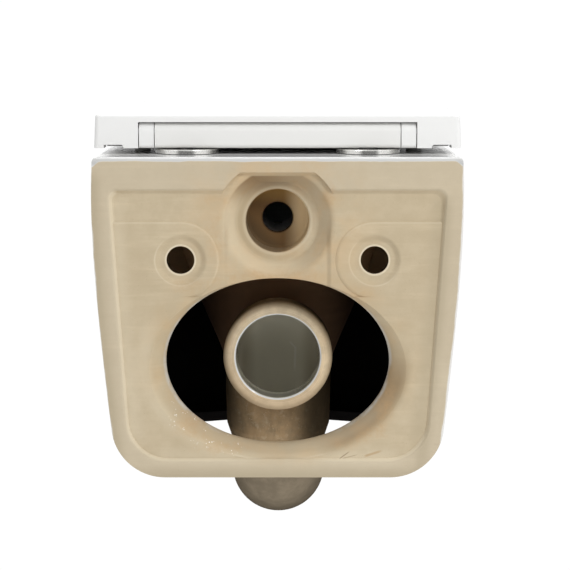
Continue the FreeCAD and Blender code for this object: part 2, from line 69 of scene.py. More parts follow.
class Desk:
    """Lays out shader nodes in one tree."""

    def __init__(self, tree: bpy.types.NodeTree) -> None:
        """Keep the tree to work on.

        Args:
            tree: node tree of a material or of a group.
        """
        self.tree = tree

    def node(self, kind: str, **settings: object) -> bpy.types.Node:
        """Add one node.

        Args:
            kind: Blender's node type.
            settings: attributes to set on the node.

        Returns:
            The new node.
        """
        made = self.tree.nodes.new(kind)
        for name, value in settings.items():
            setattr(made, name, value)
        return made

    def put(self, socket: Socket, value: object) -> None:
        """Link a socket or set its number.

        Args:
            socket: input to fill.
            value: another socket, a number, or a colour or vector.
        """
        if isinstance(value, bpy.types.NodeSocket):
            self.tree.links.new(value, socket)
        elif isinstance(value, (tuple, list)) and socket.type == "RGBA":
            socket.default_value = (*value[:3], 1.0)
        else:
            socket.default_value = value

    def math(self, operation: str, a: Value, b: Value = 0.0) -> Socket:
        """Put one sum on the tree.

        Args:
            operation: Blender's name of the sum.
            a: first number.
            b: second number.

        Returns:
            The result.
        """
        made = self.node("ShaderNodeMath", operation=operation)
        self.put(made.inputs[0], a)
        self.put(made.inputs[1], b)
        return made.outputs[0]

    def plus(self, a: Value, b: Value) -> Socket:
        """Add two numbers."""
        return self.math("ADD", a, b)

    def minus(self, a: Value, b: Value) -> Socket:
        """Take the second number from the first."""
        return self.math("SUBTRACT", a, b)

    def size(self, value: Value) -> Socket:
        """Size of a number without its sign."""
        return self.math("ABSOLUTE", value)

    def times(self, *factors: Value) -> Value:
        """Multiply numbers.

        Args:
            factors: one number or more.

        Returns:
            Their product.
        """
        result = factors[0]
        for factor in factors[1:]:
            result = self.math("MULTIPLY", result, factor)
        return result

    def most(self, *values: Value) -> Value:
        """Find the largest of some numbers.

        Args:
            values: one number or more.

        Returns:
            The largest.
        """
        result = values[0]
        for value in values[1:]:
            result = self.math("MAXIMUM", result, value)
        return result

    def far(self, a: Value, b: Value) -> Socket:
        """Length of the long side over two short ones."""
        return self.math("SQRT", self.plus(self.times(a, a), self.times(b, b)))

    def step(self, value: Value, low: float, high: float) -> Socket:
        """Smooth rise from 0 at low to 1 at high.

        Args:
            value: number to read.
            low: where the rise starts.
            high: where the rise ends.

        Returns:
            The mask.
        """
        made = self.node("ShaderNodeMapRange", interpolation_type="SMOOTHSTEP", clamp=True)
        self.put(made.inputs["Value"], value)
        made.inputs["From Min"].default_value = low
        made.inputs["From Max"].default_value = high
        return made.outputs["Result"]

    def below(self, value: Value, low: float, high: float) -> Socket:
        """Smooth fall from 1 at low to 0 at high."""
        return self.minus(1.0, self.step(value, low, high))

    def blend(self, share: Value, a: Tone, b: Tone, label: str = "") -> Socket:
        """Mix two colours.

        Args:
            share: how much of the second colour.
            a: first colour.
            b: second colour.
            label: what the second colour stands for.

        Returns:
            The mixed colour.
        """
        made = self.node("ShaderNodeMix", data_type="RGBA", clamp_factor=True, label=label)
        self.put(made.inputs[0], share)
        self.put(made.inputs[6], a)
        self.put(made.inputs[7], b)
        return made.outputs[2]

    def between(self, share: Value, a: Value, b: Value) -> Socket:
        """Mix two numbers.

        Args:
            share: how much of the second number.
            a: first number.
            b: second number.

        Returns:
            The mixed number.
        """
        made = self.node("ShaderNodeMix", data_type="FLOAT", clamp_factor=True)
        self.put(made.inputs[0], share)
        self.put(made.inputs[2], a)
        self.put(made.inputs[3], b)
        return made.outputs[0]

    def stretch(self, place: Socket, scale: Place) -> Socket:
        """Scale coordinates by another factor each way.

        Args:
            place: coordinates.
            scale: the three factors.

        Returns:
            The scaled coordinates.
        """
        made = self.node("ShaderNodeMapping")
        self.put(made.inputs["Vector"], place)
        made.inputs["Scale"].default_value = scale
        return made.outputs["Vector"]

    def noise(self, place: Socket, scale: Value, detail: float = 4.0, rough: float = 0.5) -> Socket:
        """Cloudy pattern.

        Args:
            place: coordinates.
            scale: patches to the metre.
            detail: octaves.
            rough: weight of the small octaves.

        Returns:
            The pattern, about 0 to 1.
        """
        made = self.node("ShaderNodeTexNoise")
        self.put(made.inputs["Vector"], place)
        self.put(made.inputs["Scale"], scale)
        made.inputs["Detail"].default_value = detail
        made.inputs["Roughness"].default_value = rough
        return made.outputs["Fac"]

    def cells(self, place: Socket, scale: Value) -> Socket:
        """Distance to the nearest of many scattered points.

        Args:
            place: coordinates.
            scale: points to the metre.

        Returns:
            The distance in cells.
        """
        made = self.node("ShaderNodeTexVoronoi")
        self.put(made.inputs["Vector"], place)
        self.put(made.inputs["Scale"], scale)
        return made.outputs["Distance"]

    def split(self, vector: Socket) -> Tuple[Socket, Socket, Socket]:
        """Take a vector apart.

        Args:
            vector: vector to read.

        Returns:
            Its three numbers.
        """
        made = self.node("ShaderNodeSeparateXYZ")
        self.put(made.inputs[0], vector)
        return made.outputs[0], made.outputs[1], made.outputs[2]

    def bump(self, height: Value, strength: float, distance: float,
             under: Optional[Socket] = None) -> Socket:
        """Turn a height into a bent normal.

        Args:
            height: height pattern.
            strength: share of the effect.
            distance: height of a full step in metres.
            under: normal that is already bent by a coarser height.

        Returns:
            The normal.
        """
        made = self.node("ShaderNodeBump")
        if under is not None:
            self.put(made.inputs["Normal"], under)
        made.inputs["Strength"].default_value = strength
        made.inputs["Distance"].default_value = distance
        self.put(made.inputs["Height"], height)
        return made.outputs["Normal"]


class SharedEffects:
    """Shader groups that more than one finish uses."""

    def __init__(self) -> None:
        """Build the groups once."""
        self.mottle = self._mottle()
        self.specks = self._specks()
        self.ripple = self._ripple()

    @staticmethod
    def _group(name: str, numbers: Dict[str, float],
               outputs: List[str]) -> Tuple[Desk, bpy.types.Node, bpy.types.Node]:
        """Make a group that reads a place and some numbers.

        Args:
            name: name of the group.
            numbers: input name to its first value.
            outputs: names of the number outputs.

        Returns:
            The desk with the group's tree, and the nodes of its inputs and outputs.
        """
        group = bpy.data.node_groups.new(name, "ShaderNodeTree")
        group.interface.new_socket("Place", in_out="INPUT", socket_type="NodeSocketVector")
        for label, value in numbers.items():
            made = group.interface.new_socket(label, in_out="INPUT", socket_type="NodeSocketFloat")
            made.default_value = value
        for label in outputs:
            group.interface.new_socket(label, in_out="OUTPUT", socket_type="NodeSocketFloat")
        desk = Desk(group)
        return desk, desk.node("NodeGroupInput"), desk.node("NodeGroupOutput")

    def _mottle(self) -> bpy.types.NodeTree:
        """Clouds of two sizes, as in fired clay.

        Returns:
            The group.
        """
        desk, source, target = self._group("fired_mottle", {"Large": 9.0, "Small": 70.0}, ["Cloud", "Fine"])
        cloud = desk.noise(source.outputs["Place"], source.outputs["Large"], 5.0, 0.55)
        fine = desk.noise(source.outputs["Place"], source.outputs["Small"], 6.0, 0.65)
        desk.put(target.inputs["Cloud"], desk.step(cloud, 0.3, 0.7))
        desk.put(target.inputs["Fine"], desk.step(fine, 0.3, 0.7))
        return desk.tree

    def _specks(self) -> bpy.types.NodeTree:
        """Scattered specks that come and go in patches.

        Returns:
            The group.
        """
        desk, source, target = self._group("scattered_specks", {"Density": 400.0, "Size": 0.16}, ["Mask"])
        away = desk.cells(source.outputs["Place"], source.outputs["Density"])
        dot = desk.step(desk.minus(source.outputs["Size"], away), 0.0, 0.05)
        patch = desk.step(desk.noise(source.outputs["Place"], 160.0, 2.0), 0.5, 0.62)
        desk.put(target.inputs["Mask"], desk.times(dot, patch))
        return desk.tree

    def _ripple(self) -> bpy.types.NodeTree:
        """Slow waves and fine grain for a height.

        Returns:
            The group.
        """
        numbers = {"Wave": 30.0, "Grain": 900.0, "Share": 0.5}
        desk, source, target = self._group("surface_ripple", numbers, ["Height"])
        wave = desk.noise(source.outputs["Place"], source.outputs["Wave"], 2.0)
        grain = desk.noise(source.outputs["Place"], source.outputs["Grain"], 3.0, 0.6)
        desk.put(target.inputs["Height"], desk.between(source.outputs["Share"], wave, grain))
        return desk.tree


@dataclass(frozen=True)
class Edge:
    """Soft edge of a zone along one coordinate."""

    start: float
    stop: float
    falling: bool = False


Edges = Tuple[Edge, ...]


def above(start: float, full: float) -> Edges:
    """Zone that fades in between two values."""
    return (Edge(start, full),)


def until(fade: float, stop: float) -> Edges:
    """Zone that fades out between two values."""
    return (Edge(fade, stop, falling=True),)


def band(start: float, full: float, fade: float, stop: float) -> Edges:
    """Zone that fades in and out again."""
    return above(start, full) + until(fade, stop)


class Finish:
    """A material under construction, with its named coordinates at hand."""

    def __init__(self, name: str, effects: SharedEffects) -> None:
        """Start the material.

        Args:
            name: name of the material.
            effects: shared groups.
        """
        self.effects = effects
        self.material = bpy.data.materials.new(name)
        self.material.use_nodes = True
        self.desk = Desk(self.material.node_tree)
        self.shader = self.material.node_tree.nodes["Principled BSDF"]
        self.place = self.desk.node("ShaderNodeTexCoord").outputs["Object"]

    @cached_property
    def chart(self) -> Dict[str, Value]:
        """Lay out the coordinates that zones are measured along.

        Returns:
            Place and facing each way, distance from the middle and facing outward.
        """
        desk = self.desk
        x, y, z = desk.split(self.place)
        nx, ny, nz = desk.split(desk.node("ShaderNodeNewGeometry").outputs["Normal"])
        outward = desk.times(desk.math("SIGN", x), nx)
        place = {"x": x, "y": y, "z": z, "wide": desk.size(x)}
        return {**place, "nx": nx, "ny": ny, "nz": nz, "outward": outward}

    def call(self, group: bpy.types.NodeTree, **values: float) -> bpy.types.NodeOutputs:
        """Place a shared group.

        Args:
            group: group to place.
            values: its numbers by socket name.

        Returns:
            The group's outputs.
        """
        made = self.desk.node("ShaderNodeGroup")
        made.node_tree = group
        self.desk.put(made.inputs["Place"], self.place)
        for label, value in values.items():
            made.inputs[label].default_value = value
        return made.outputs

    def ripple(self, look: "Rippled") -> Socket:
        """Height with the waves and the grain of a finish."""
        made = self.call(self.effects.ripple, Wave=look.wave, Grain=look.grain, Share=look.grain_share)
        return made["Height"]

    def shaded(self, height: Socket, look: Union["MouldedPlastic", "BareMetal"]) -> Socket:
        """Colour of a finish, a little darker on its waves."""
        share = self.desk.times(height, look.shade_share)
        return self.desk.blend(share, look.colour, shade(look.colour, look.shade))

    def ring(self, middle: float, wide: float = 1.0, high: float = 1.0) -> Socket:
        """How far out a point lies in an upright ellipse about x = 0.

        Args:
            middle: height of the ellipse's centre.
            wide: half its width.
            high: half its height.

        Returns:
            0 at the centre, 1 on the ellipse.
        """
        desk = self.desk
        across = desk.math("DIVIDE", self.chart["x"], wide)
        return desk.far(across, desk.math("DIVIDE", desk.minus(self.chart["z"], middle), high))

    def set(self, **values: object) -> None:
        """Fill sockets of the shader, spaces written as underscores.

        Args:
            values: socket name to a socket, number or colour.
        """
        for label, value in values.items():
            self.desk.put(self.shader.inputs[label.replace("_", " ")], value)


class Zone:
    """Part of a surface with soft edges along coordinates of the chart."""

    def __init__(self, weight: float = 1.0, pattern: str = "", **edges: Edges) -> None:
        """Keep what bounds the zone.

        Args:
            weight: strength inside the zone.
            pattern: chart entry that the zone is multiplied by.
            edges: soft edges by chart entry.
        """
        self.weight = weight
        self.pattern = pattern
        self.edges = edges

    def mask(self, made: Finish) -> Value:
        """Lay the zone out.

        Args:
            made: material to work on.

        Returns:
            The weight inside the zone, 0 outside.
        """
        desk = made.desk
        factors: List[Value] = []
        for name, edges in self.edges.items():
            for edge in edges:
                ramp = desk.below if edge.falling else desk.step
                factors.append(ramp(made.chart[name], edge.start, edge.stop))
        if self.pattern:
            factors.append(made.chart[self.pattern])
        if self.weight < 1.0:
            factors.append(self.weight)
        return desk.times(*factors)


class Wash:
    """Colour laid over zones; where they overlap, the stronger one counts."""

    def __init__(self, name: str, colour: Tone, share: float, *zones: Zone) -> None:
        """Keep what the wash is made of.

        Args:
            name: what the wash shows.
            colour: its colour.
            share: how much of it lies on the colour below.
            zones: where it lies.
        """
        self.name = name
        self.colour = colour
        self.share = share
        self.zones = zones

    def lay(self, made: Finish, ground: Tone) -> Socket:
        """Lay the wash on a colour.

        Args:
            made: material to work on.
            ground: colour so far.

        Returns:
            The washed colour.
        """
        cover = made.desk.most(*(zone.mask(made) for zone in self.zones))
        return made.desk.blend(made.desk.times(cover, self.share), ground, self.colour, self.name)


def lay_all(made: Finish, ground: Tone, *washes: Wash) -> Tone:
    """Lay washes one over the other.

    Args:
        made: material to work on.
        ground: colour below them.
        washes: the washes in their order.

    Returns:
        The colour with all washes.
    """
    for wash in washes:
        ground = wash.lay(made, ground)
    return ground


@dataclass(frozen=True)
class BiscuitGlaze:
    """Fired clay that is bare in places and white glazed in others."""

    bare: Colour = (0.575, 0.483, 0.338)
    bare_dark: Colour = (0.475, 0.385, 0.255)
    rust: Colour = (0.60, 0.41, 0.22)
    amber: Colour = (0.50, 0.325, 0.168)
    speck: Colour = (0.22, 0.15, 0.09)
    pinhole: Colour = (0.90, 0.88, 0.80)
    socket: Colour = (0.19, 0.107, 0.044)
    socket_top: Colour = (0.34, 0.205, 0.068)
    socket_side: Colour = (0.88, 0.71, 0.45)
    socket_low: Colour = (0.115, 0.072, 0.034)
    # brown stain on the oval's right lip, darkened further as painted shade
    lip_stain_and_shade: Colour = (0.315, 0.230, 0.135)
    # painted light on the dish's lower left brim
    brim: Colour = (0.76, 0.655, 0.475)
    # painted shadow under the dish's crown
    crown: Colour = (0.22, 0.13, 0.058)
    # painted shade on the oval's lower ledge
    lip: Colour = (0.44, 0.365, 0.255)
    # near-black painted shade down the water way and inside the fixing holes
    hole: Colour = (0.05, 0.028, 0.014)
    # pale tone: real chalk on the trap, and painted highlight and painted light on the back wall
    pale: Colour = (0.76, 0.68, 0.52)
    border: Colour = (0.56, 0.49, 0.375)
    # painted shade on the border's outer edge and by the right step
    edge: Colour = (0.42, 0.355, 0.245)
    splash: Colour = (0.60, 0.60, 0.57)
    glaze: Colour = (0.80, 0.80, 0.79)
    # painted shade on the glazed top edge of the back wall
    glaze_shaded: Colour = (0.54, 0.54, 0.53)
    bare_rough: float = 0.82
    glaze_rough: float = 0.09
    bare_shine: float = 0.08
    coat_rough: float = 0.04
    relief: float = 0.35
    relief_height: float = 0.0006
    dark_gain: float = 0.7
    speck_gain: float = 0.4

    def coloured(self, bare: Colour) -> "BiscuitGlaze":
        """Same clay in another colour, with darker clouds and specks to match."""
        dark, speck = shade(bare, self.dark_gain), shade(bare, self.speck_gain)
        return replace(self, bare=bare, bare_dark=dark, speck=speck)


@dataclass(frozen=True)
class ClayGrain:
    """Clouds, brush marks, chalk and specks of the bare clay, in patches to the metre, and their shares."""

    cloud: float = 9.0
    cloud_share: float = 0.50
    fine: float = 75.0
    fine_share: float = 0.48
    brush: Place = (14.0, 14.0, 150.0)
    brush_share: float = 0.30
    chalk: float = 0.55
    chalk_share: float = 0.45
    chalk_gain: float = 1.22
    speck_density: float = 420.0
    speck_size: float = 0.13
    speck_share: float = 0.50
    wave: float = 45.0
    grain: float = 1300.0
    grain_share: float = 0.55


@dataclass(frozen=True)
class GlazeFlow:
    """Slow waves in the glaze, and how the rim's own glaze follows them."""

    wave: float = 14.0
    grain: float = 120.0
    grain_share: float = 0.25
    relief: float = 0.35
    rim_tint: float = 0.08
    rim_rough: Point = (0.06, 0.12)
    rim_shine: float = 0.12
    rim_relief: float = 0.12
    rim_coat: Point = (0.06, 0.16)


@dataclass(frozen=True)
class Scratch:
    """Straight mark, its ends given by x and z, and the shares of it where it is sharp and full."""

    start: Point
    stop: Point
    width: float
    colour: Colour
    share: float = 0.7
    core: float = 0.3
    full_from: float = 0.2
    fades_from: float = 0.7


@dataclass(frozen=True)
class Stain:
    """Patch of kiln stain on the back face, its middle and half sizes given by x and z."""

    middle: Point
    half: Point
    share: float


@dataclass(frozen=True)
class MouldedPlastic:
    """Thermoset or injection moulded plastic."""

    colour: Colour
    rough: float = 0.22
    wave: float = 22.0
    grain: float = 1500.0
    grain_share: float = 0.3
    shade: float = 0.95
    shade_share: float = 0.5
    gloss: Point = (0.85, 1.2)
    relief: float = 0.10
    relief_height: float = 0.0003


@dataclass(frozen=True)
class BareMetal:
    """Plated or drawn metal."""

    colour: Colour
    rough: float = 0.12
    grain: float = 600.0
    wave: float = 60.0
    grain_share: float = 0.6
    shade: float = 0.85
    shade_share: float = 0.3
    gloss: Point = (0.7, 1.4)
    relief: float = 0.06
    relief_height: float = 0.0002
    # painted highlight on the rims of the discs
    bright: Colour = (1.0, 0.99, 0.96)
    reflection_bands: bool = False


@dataclass(frozen=True)
class SoftRubber:
    """Moulded rubber."""

    colour: Colour
    rough: float = 0.62
    cloud: float = 60.0
    fine: float = 400.0
    bloom_gain: float = 1.12
    bloom_lift: float = 0.02
    bloom_share: float = 0.6
    gloss: Point = (0.9, 1.15)
    relief: float = 0.15
    relief_height: float = 0.0002


@dataclass(frozen=True)
class TrapColours:
    """Pipe, tan spigot end with painted light and shade, U bend, and the thin glaze in the bore with painted
    shade on its sides.
    """

    pipe: Colour = (0.36, 0.262, 0.155)
    # the spigot end's own tan, lightened as painted light on its upper half
    tan: Colour = (0.92, 0.77, 0.55)
    # painted shade on the lower half of the spigot end
    tan_painted_shade: Colour = (0.70, 0.55, 0.37)
    # painted light on the right of the spigot end
    tan_lit: Colour = (1.0, 0.80, 0.52)
    low: Colour = (0.205, 0.168, 0.119)
    bore: Colour = (0.76, 0.735, 0.615)
    # painted shade on the sides of the bore
    bore_side_shade: Colour = (0.26, 0.215, 0.150)
    bore_rough: float = 0.16
    bare_shine: float = 0.0


Rippled = Union[ClayGrain, GlazeFlow, MouldedPlastic, BareMetal]


class FinishShop:
    """Makes the materials of the toilet."""

    def __init__(self) -> None:
        """Build the shared effects."""
        self.effects = SharedEffects()
        self.grain = ClayGrain()
        self.flow = GlazeFlow()

    def _clay(self, made: Finish, look: BiscuitGlaze) -> Tuple[Socket, Socket]:
        """Bare clay with clouds, brush marks, chalk and specks.

        Args:
            made: material to work on.
            look: colours.

        Returns:
            Colour and height of the bare clay.
        """
        desk, grain = made.desk, self.grain
        mottle = made.call(self.effects.mottle, Large=grain.cloud, Small=grain.fine)
        brushed = desk.stretch(made.place, grain.brush)
        brush = desk.step(desk.noise(brushed, 1.0, 4.0, 0.6), 0.45, 0.75)
        chalk = desk.step(desk.noise(brushed, grain.chalk, 5.0, 0.65), 0.50, 0.78)
        specks = made.call(self.effects.specks, Density=grain.speck_density, Size=grain.speck_size)
        colour: Tone = look.bare
        for mask, share, tone in (
            (mottle["Cloud"], grain.cloud_share, look.bare_dark),
            (mottle["Fine"], grain.fine_share, look.bare_dark),
            (brush, grain.brush_share, look.bare_dark),
            (chalk, grain.chalk_share, shade(look.bare, grain.chalk_gain)),
            (specks["Mask"], grain.speck_share, look.speck),
        ):
            colour = desk.blend(desk.times(mask, share), colour, tone)
        return colour, made.ripple(grain)

    def _dress_clay(self, made: Finish, look: BiscuitGlaze, clay: Tuple[Socket, Socket], glazed: Value,
                    over: Tuple[Wash, ...] = (), form: Optional[Socket] = None) -> bpy.types.Material:
        """Join bare clay and glaze by a mask.

        Args:
            made: material to work on.
            look: colours and gloss.
            clay: colour and height of the bare clay.
            glazed: 1 where the glaze lies.
            over: washes over clay and glaze.
            form: normal bent by a coarser form.

        Returns:
            The material.
        """
        desk = made.desk
        colour, height = clay
        made.set(
            Base_Color=lay_all(made, desk.blend(glazed, colour, look.glaze), *over),
            Roughness=desk.between(glazed, look.bare_rough, look.glaze_rough),
            Coat_Weight=glazed,
            Coat_Roughness=look.coat_rough,
            Specular_IOR_Level=look.bare_shine,
        )
        level = desk.between(glazed, height, desk.times(made.ripple(self.flow), self.flow.relief))
        made.set(Normal=desk.bump(level, look.relief, look.relief_height, form))
        return made.material

    @staticmethod
    def _half_width(made: Finish) -> Socket:
        """Half the width of the back wall at each height.

        Args:
            made: material to work on.

        Returns:
            Half the width in metres.
        """
        desk = made.desk
        width: Value = PAN_HALF
        for high, low, less in PAN_TAPER:
            share = desk.node("ShaderNodeMapRange", clamp=True)
            desk.put(share.inputs["Value"], made.chart["z"])
            share.inputs["From Min"].default_value = high
            share.inputs["From Max"].default_value = low
            width = desk.minus(width, desk.times(share.outputs["Result"], less))
        return width

    @staticmethod
    def _stroke(made: Finish, mark: Scratch) -> Socket:
        """Mask of a scratch that fades towards its ends.

        Args:
            made: material to work on.
            mark: the scratch.

        Returns:
            1 along the scratch.
        """
        desk = made.desk
        dx, dz = mark.stop[0] - mark.start[0], mark.stop[1] - mark.start[1]
        length = math.hypot(dx, dz)
        ux, uz = dx / length, dz / length
        px = desk.minus(made.chart["x"], mark.start[0])
        pz = desk.minus(made.chart["z"], mark.start[1])
        along = desk.plus(desk.times(px, ux), desk.times(pz, uz))
        aside = desk.size(desk.minus(desk.times(px, uz), desk.times(pz, ux)))
        near = desk.below(aside, mark.width * mark.core, mark.width)
        begin = desk.step(along, 0.0, length * mark.full_from)
        return desk.times(near, begin, desk.below(along, length * mark.fades_from, length))

    def _survey_wall(self, made: Finish) -> None:
        """Add the back wall's own coordinates and patterns to the chart.

        Args:
            made: material to work on.
        """
        desk, chart = made.desk, made.chart
        x, z, wide = chart["x"], chart["z"], chart["wide"]
        wander = desk.times(desk.noise(made.place, 45.0, 3.0), 0.003)
        shoulder = desk.times(desk.step(wide, 0.1630, 0.1730), 0.006)
        right_edge = desk.times(desk.step(x, -0.01, 0.01), 0.0012)
        rise = desk.minus(z, INLET_Z)
        pinholes = made.call(self.effects.specks, Density=430.0, Size=0.26)
        chart["inset"] = desk.minus(self._half_width(made), wide)
        chart["wrap"] = desk.minus(desk.minus(chart["inset"], right_edge), wander)
        chart["glaze_line"] = desk.plus(desk.plus(z, wander), shoulder)
        chart["slanted"] = desk.times(desk.minus(chart["outward"], chart["nz"]), math.sqrt(0.5))
        chart["lit"] = desk.most(chart["nx"], chart["nz"])
        chart["dish"] = made.ring(INLET_Z, DISH_R, DISH_R)
        chart["socket"] = made.ring(INLET_Z, SOCKET_R, SOCKET_R)
        chart["oval"] = made.ring(OVAL_Z, OVAL_HALF, OVAL_HIGH)
        chart["hole"] = desk.far(desk.minus(wide, FIXING_X), z)
        chart["rise"] = rise
        chart["slant"] = desk.plus(x, rise)
        chart["sink"] = desk.plus(rise, desk.times(x, 0.9))
        chart["patches"] = desk.noise(made.place, 24.0, 4.0, 0.6)
        chart["splashes"] = desk.noise(made.place, 60.0, 3.0)
        # Strength of the painted shadow under the dish's crown, stronger on the left.
        chart["crown_shadow_share"] = desk.between(desk.step(x, -0.030, 0.030), 0.76, 0.32)
        chart["pinholes"] = pinholes["Mask"]

    @staticmethod
    def _wall_glaze(made: Finish) -> Value:
        """Where glaze wraps on to the back wall from the deck, the sides and below.

        Args:
            made: material to work on.

        Returns:
            1 where the glaze lies.
        """
        zones = (
            Zone(wide=above(0.142, 0.144), outward=above(0.35, 0.6)),
            Zone(z=until(-0.192, -0.190), nz=until(-0.6, -0.35)),
            Zone(wide=above(0.100, 0.104), z=until(-0.168, -0.164), slanted=above(0.45, 0.65)),
            Zone(glaze_line=above(0.0930, 0.0945)),
            Zone(weight=0.85, wrap=until(-0.0022, -0.0006)),
        )
        return made.desk.most(*(zone.mask(made) for zone in zones))

    @staticmethod
    def _border_tone(made: Finish, look: BiscuitGlaze, colour: Tone) -> Tone:
        """Greyer border with painted shade towards its outer edge and beside and at the foot of the right
        step, and painted highlight on the left and lower steps and on slopes that face the light.

        Args:
            made: material to work on.
            look: colours.
            colour: colour of the bare clay.

        Returns:
            The colour with its border.
        """
        border, face = until(-0.0068, -0.0050), until(-0.0020, 0.0)
        left, right = until(-0.01, 0.0), above(0.0, 0.01)
        under_dish = until(0.050, 0.066)
        beside = {"y": face, "inset": band(0.010, 0.020, 0.022, 0.036),
                  "z": band(-0.182, -0.160, 0.050, 0.066)}
        slope = {"y": band(-0.0073, -0.0062, -0.0040, -0.0028), "lit": above(0.15, 0.45)}
        return lay_all(
            made, colour,
            Wash("border", look.border, 0.45, Zone(y=border)),
            # Painted shade where the border rounds off at its outer edge.
            Wash("outer edge", look.edge, 0.70,
                 Zone(y=border, inset=until(0.0, 0.013), x=until(0.0, 0.01), z=until(0.07, 0.09)),
                 Zone(y=border, z=until(-0.205, -0.190))),
            # Painted shade beside the inner step on the right, which faces away from the light.
            Wash("inner edge on the right", look.edge, 0.45,
                 Zone(y=border, inset=band(0.006, 0.016, 0.018, 0.026), x=right, z=under_dish)),
            # Painted highlight on the left step and the sill, which face the light.
            Wash("painted_highlight on the left and the sill", look.pale, 0.22,
                 Zone(x=left, **beside),
                 Zone(y=face, z=band(-0.198, -0.187, -0.184, -0.172), wide=until(0.10, 0.13))),
            # Painted shade at the foot of the right step.
            Wash("foot of the right step", look.edge, 0.36, Zone(x=right, **beside)),
            # Painted highlight on slopes that face the light.
            Wash("slopes towards the light", look.pale, 0.40,
                 Zone(inset=until(0.030, 0.036), **slope),
                 Zone(z=until(-0.184, -0.180), **slope),
                 Zone(z=above(-0.060, -0.045), **slope)),
        )

    @staticmethod
    def _wall_stains(made: Finish, look: BiscuitGlaze, colour: Tone) -> Tone:
        """Kiln stains about the inlet and the oval, glaze splashed on its edge, painted shade on the oval's
        right and lower lip and under the dish's crown, and painted light on the dish's right and lower left,
        the socket's mouth and a ridge low on the left.

        Args:
            made: material to work on.
            look: colours.
            colour: colour of the clay so far.

        Returns:
            The stained colour.
        """
        patches = above(0.36, 0.66)
        lip = until(1.0, 1.35)
        hollow = above(-0.0012, 0.0020)
        flare = {"dish": until(0.48, 0.54), "y": hollow}
        return lay_all(
            made, colour,
            Wash("dark lip of the oval", look.bare_dark, 0.40, Zone(oval=lip)),
            Wash("rust", look.rust, 0.58,
                 Zone(dish=until(0.3, 1.1), patches=patches),
                 Zone(weight=0.75, oval=lip, patches=patches)),
            # Painted highlight on a ridge low on the left.
            Wash("pale ridge low on the left", look.pale, 0.22,
                 Zone(oval=band(1.09, 1.18, 1.20, 1.32), x=until(-0.060, -0.020), z=until(-0.075, -0.045))),
            # Brown stain on the right lip, darkened further as painted shade.
            Wash("stained_and_shaded lip on the right", look.lip_stain_and_shade, 0.95,
                 Zone(oval=until(1.10, 1.23), x=above(0.025, 0.070), z=until(-0.120, -0.070))),
            # Painted shade on the lower ledge.
            Wash("lower ledge", look.lip, 0.50, Zone(oval=until(1.06, 1.16), z=until(-0.150, -0.120))),
            Wash("left of the dish", look.bare_dark, 0.85,
                 Zone(dish=until(0.36, 0.42), y=hollow, x=until(-0.030, 0.020))),
            # Painted light on the right of the dish.
            Wash("right of the dish", look.pale, 0.15, Zone(x=above(0.010, 0.040), **flare)),
            # Painted shadow under the dish's crown.
            Wash("crown of the dish", look.crown, 1.0,
                 Zone(pattern="crown_shadow_share", z=above(0.045, 0.080), **flare)),
            # Painted highlight on the socket's mouth.
            Wash("mouth of the socket", look.pale, 0.20,
                 Zone(dish=band(0.290, 0.300, 0.315, 0.340), y=hollow)),
            # Painted light on the dish's lower left brim, which faces the light.
            Wash("brim low on the left", look.brim, 0.52,
                 Zone(dish=band(0.36, 0.42, 0.47, 0.53), slant=until(-0.036, 0.000))),
            Wash("splashes of glaze", look.splash, 0.70,
                 Zone(oval=until(1.004, 1.03), wide=above(0.045, 0.085), splashes=above(0.30, 0.55))),
        )

    @staticmethod
    def _kiln_spots(made: Finish, look: BiscuitGlaze, colour: Tone, stains: Tuple[Stain, ...]) -> Tone:
        """Amber patches with ragged edges.

        Args:
            made: material to work on.
            look: colours.
            colour: colour of the clay so far.
            stains: the patches.

        Returns:
            The colour with its patches.
        """
        desk = made.desk
        swing = 0.9
        ragged = desk.times(desk.step(desk.noise(made.place, 75.0, 5.0, 0.65), 0.25, 0.75), swing)
        pores = desk.between(desk.step(desk.noise(made.place, 260.0, 4.0, 0.7), 0.30, 0.66), 0.35, 1.0)
        for stain in stains:
            across = desk.math("DIVIDE", desk.minus(made.chart["x"], stain.middle[0]), stain.half[0])
            rise = desk.math("DIVIDE", desk.minus(made.chart["z"], stain.middle[1]), stain.half[1])
            away = desk.plus(desk.far(across, rise), desk.minus(ragged, swing / 2.0))
            worn = desk.times(desk.below(away, 0.05, 1.25), pores, stain.share)
            colour = desk.blend(worn, colour, look.amber, "kiln stain")
        return colour

    @staticmethod
    def _wall_bores(made: Finish, look: BiscuitGlaze, colour: Tone) -> Tone:
        """Brown inside the inlet socket, darker low on the left, a pale edge round each fixing hole, and
        near-black painted shade down the water way and inside the fixing holes.

        Args:
            made: material to work on.
            look: colours.
            colour: colour of the clay so far.

        Returns:
            The colour with stained bores.
        """
        inside = lay_all(
            made, look.socket,
            Wash("top of the socket", look.socket_top, 1.0, Zone(rise=above(0.010, 0.026))),
            Wash("right of the socket", look.socket_side, 1.0, Zone(x=above(0.004, 0.024))),
            Wash("low left of the socket", look.socket_low, 0.92, Zone(sink=until(-0.034, -0.017))),
        )
        return lay_all(
            made, colour,
            Wash("socket", inside, 0.95, Zone(socket=until(0.98, 1.04), y=above(0.0165, 0.0200))),
            # Near-black painted shade down the water way.
            Wash("water way", look.hole, 1.0, Zone(socket=until(0.50, 0.54), y=above(0.0535, 0.0550))),
            Wash("edge of a fixing hole", look.pale, 0.7,
                 Zone(hole=until(0.0142, 0.0150), y=above(-0.0012, -0.0004))),
            # Near-black painted shade inside the fixing hole.
            Wash("fixing hole", look.hole, 1.0, Zone(hole=until(0.0132, 0.0137), y=above(0.0008, 0.0030))),
        )

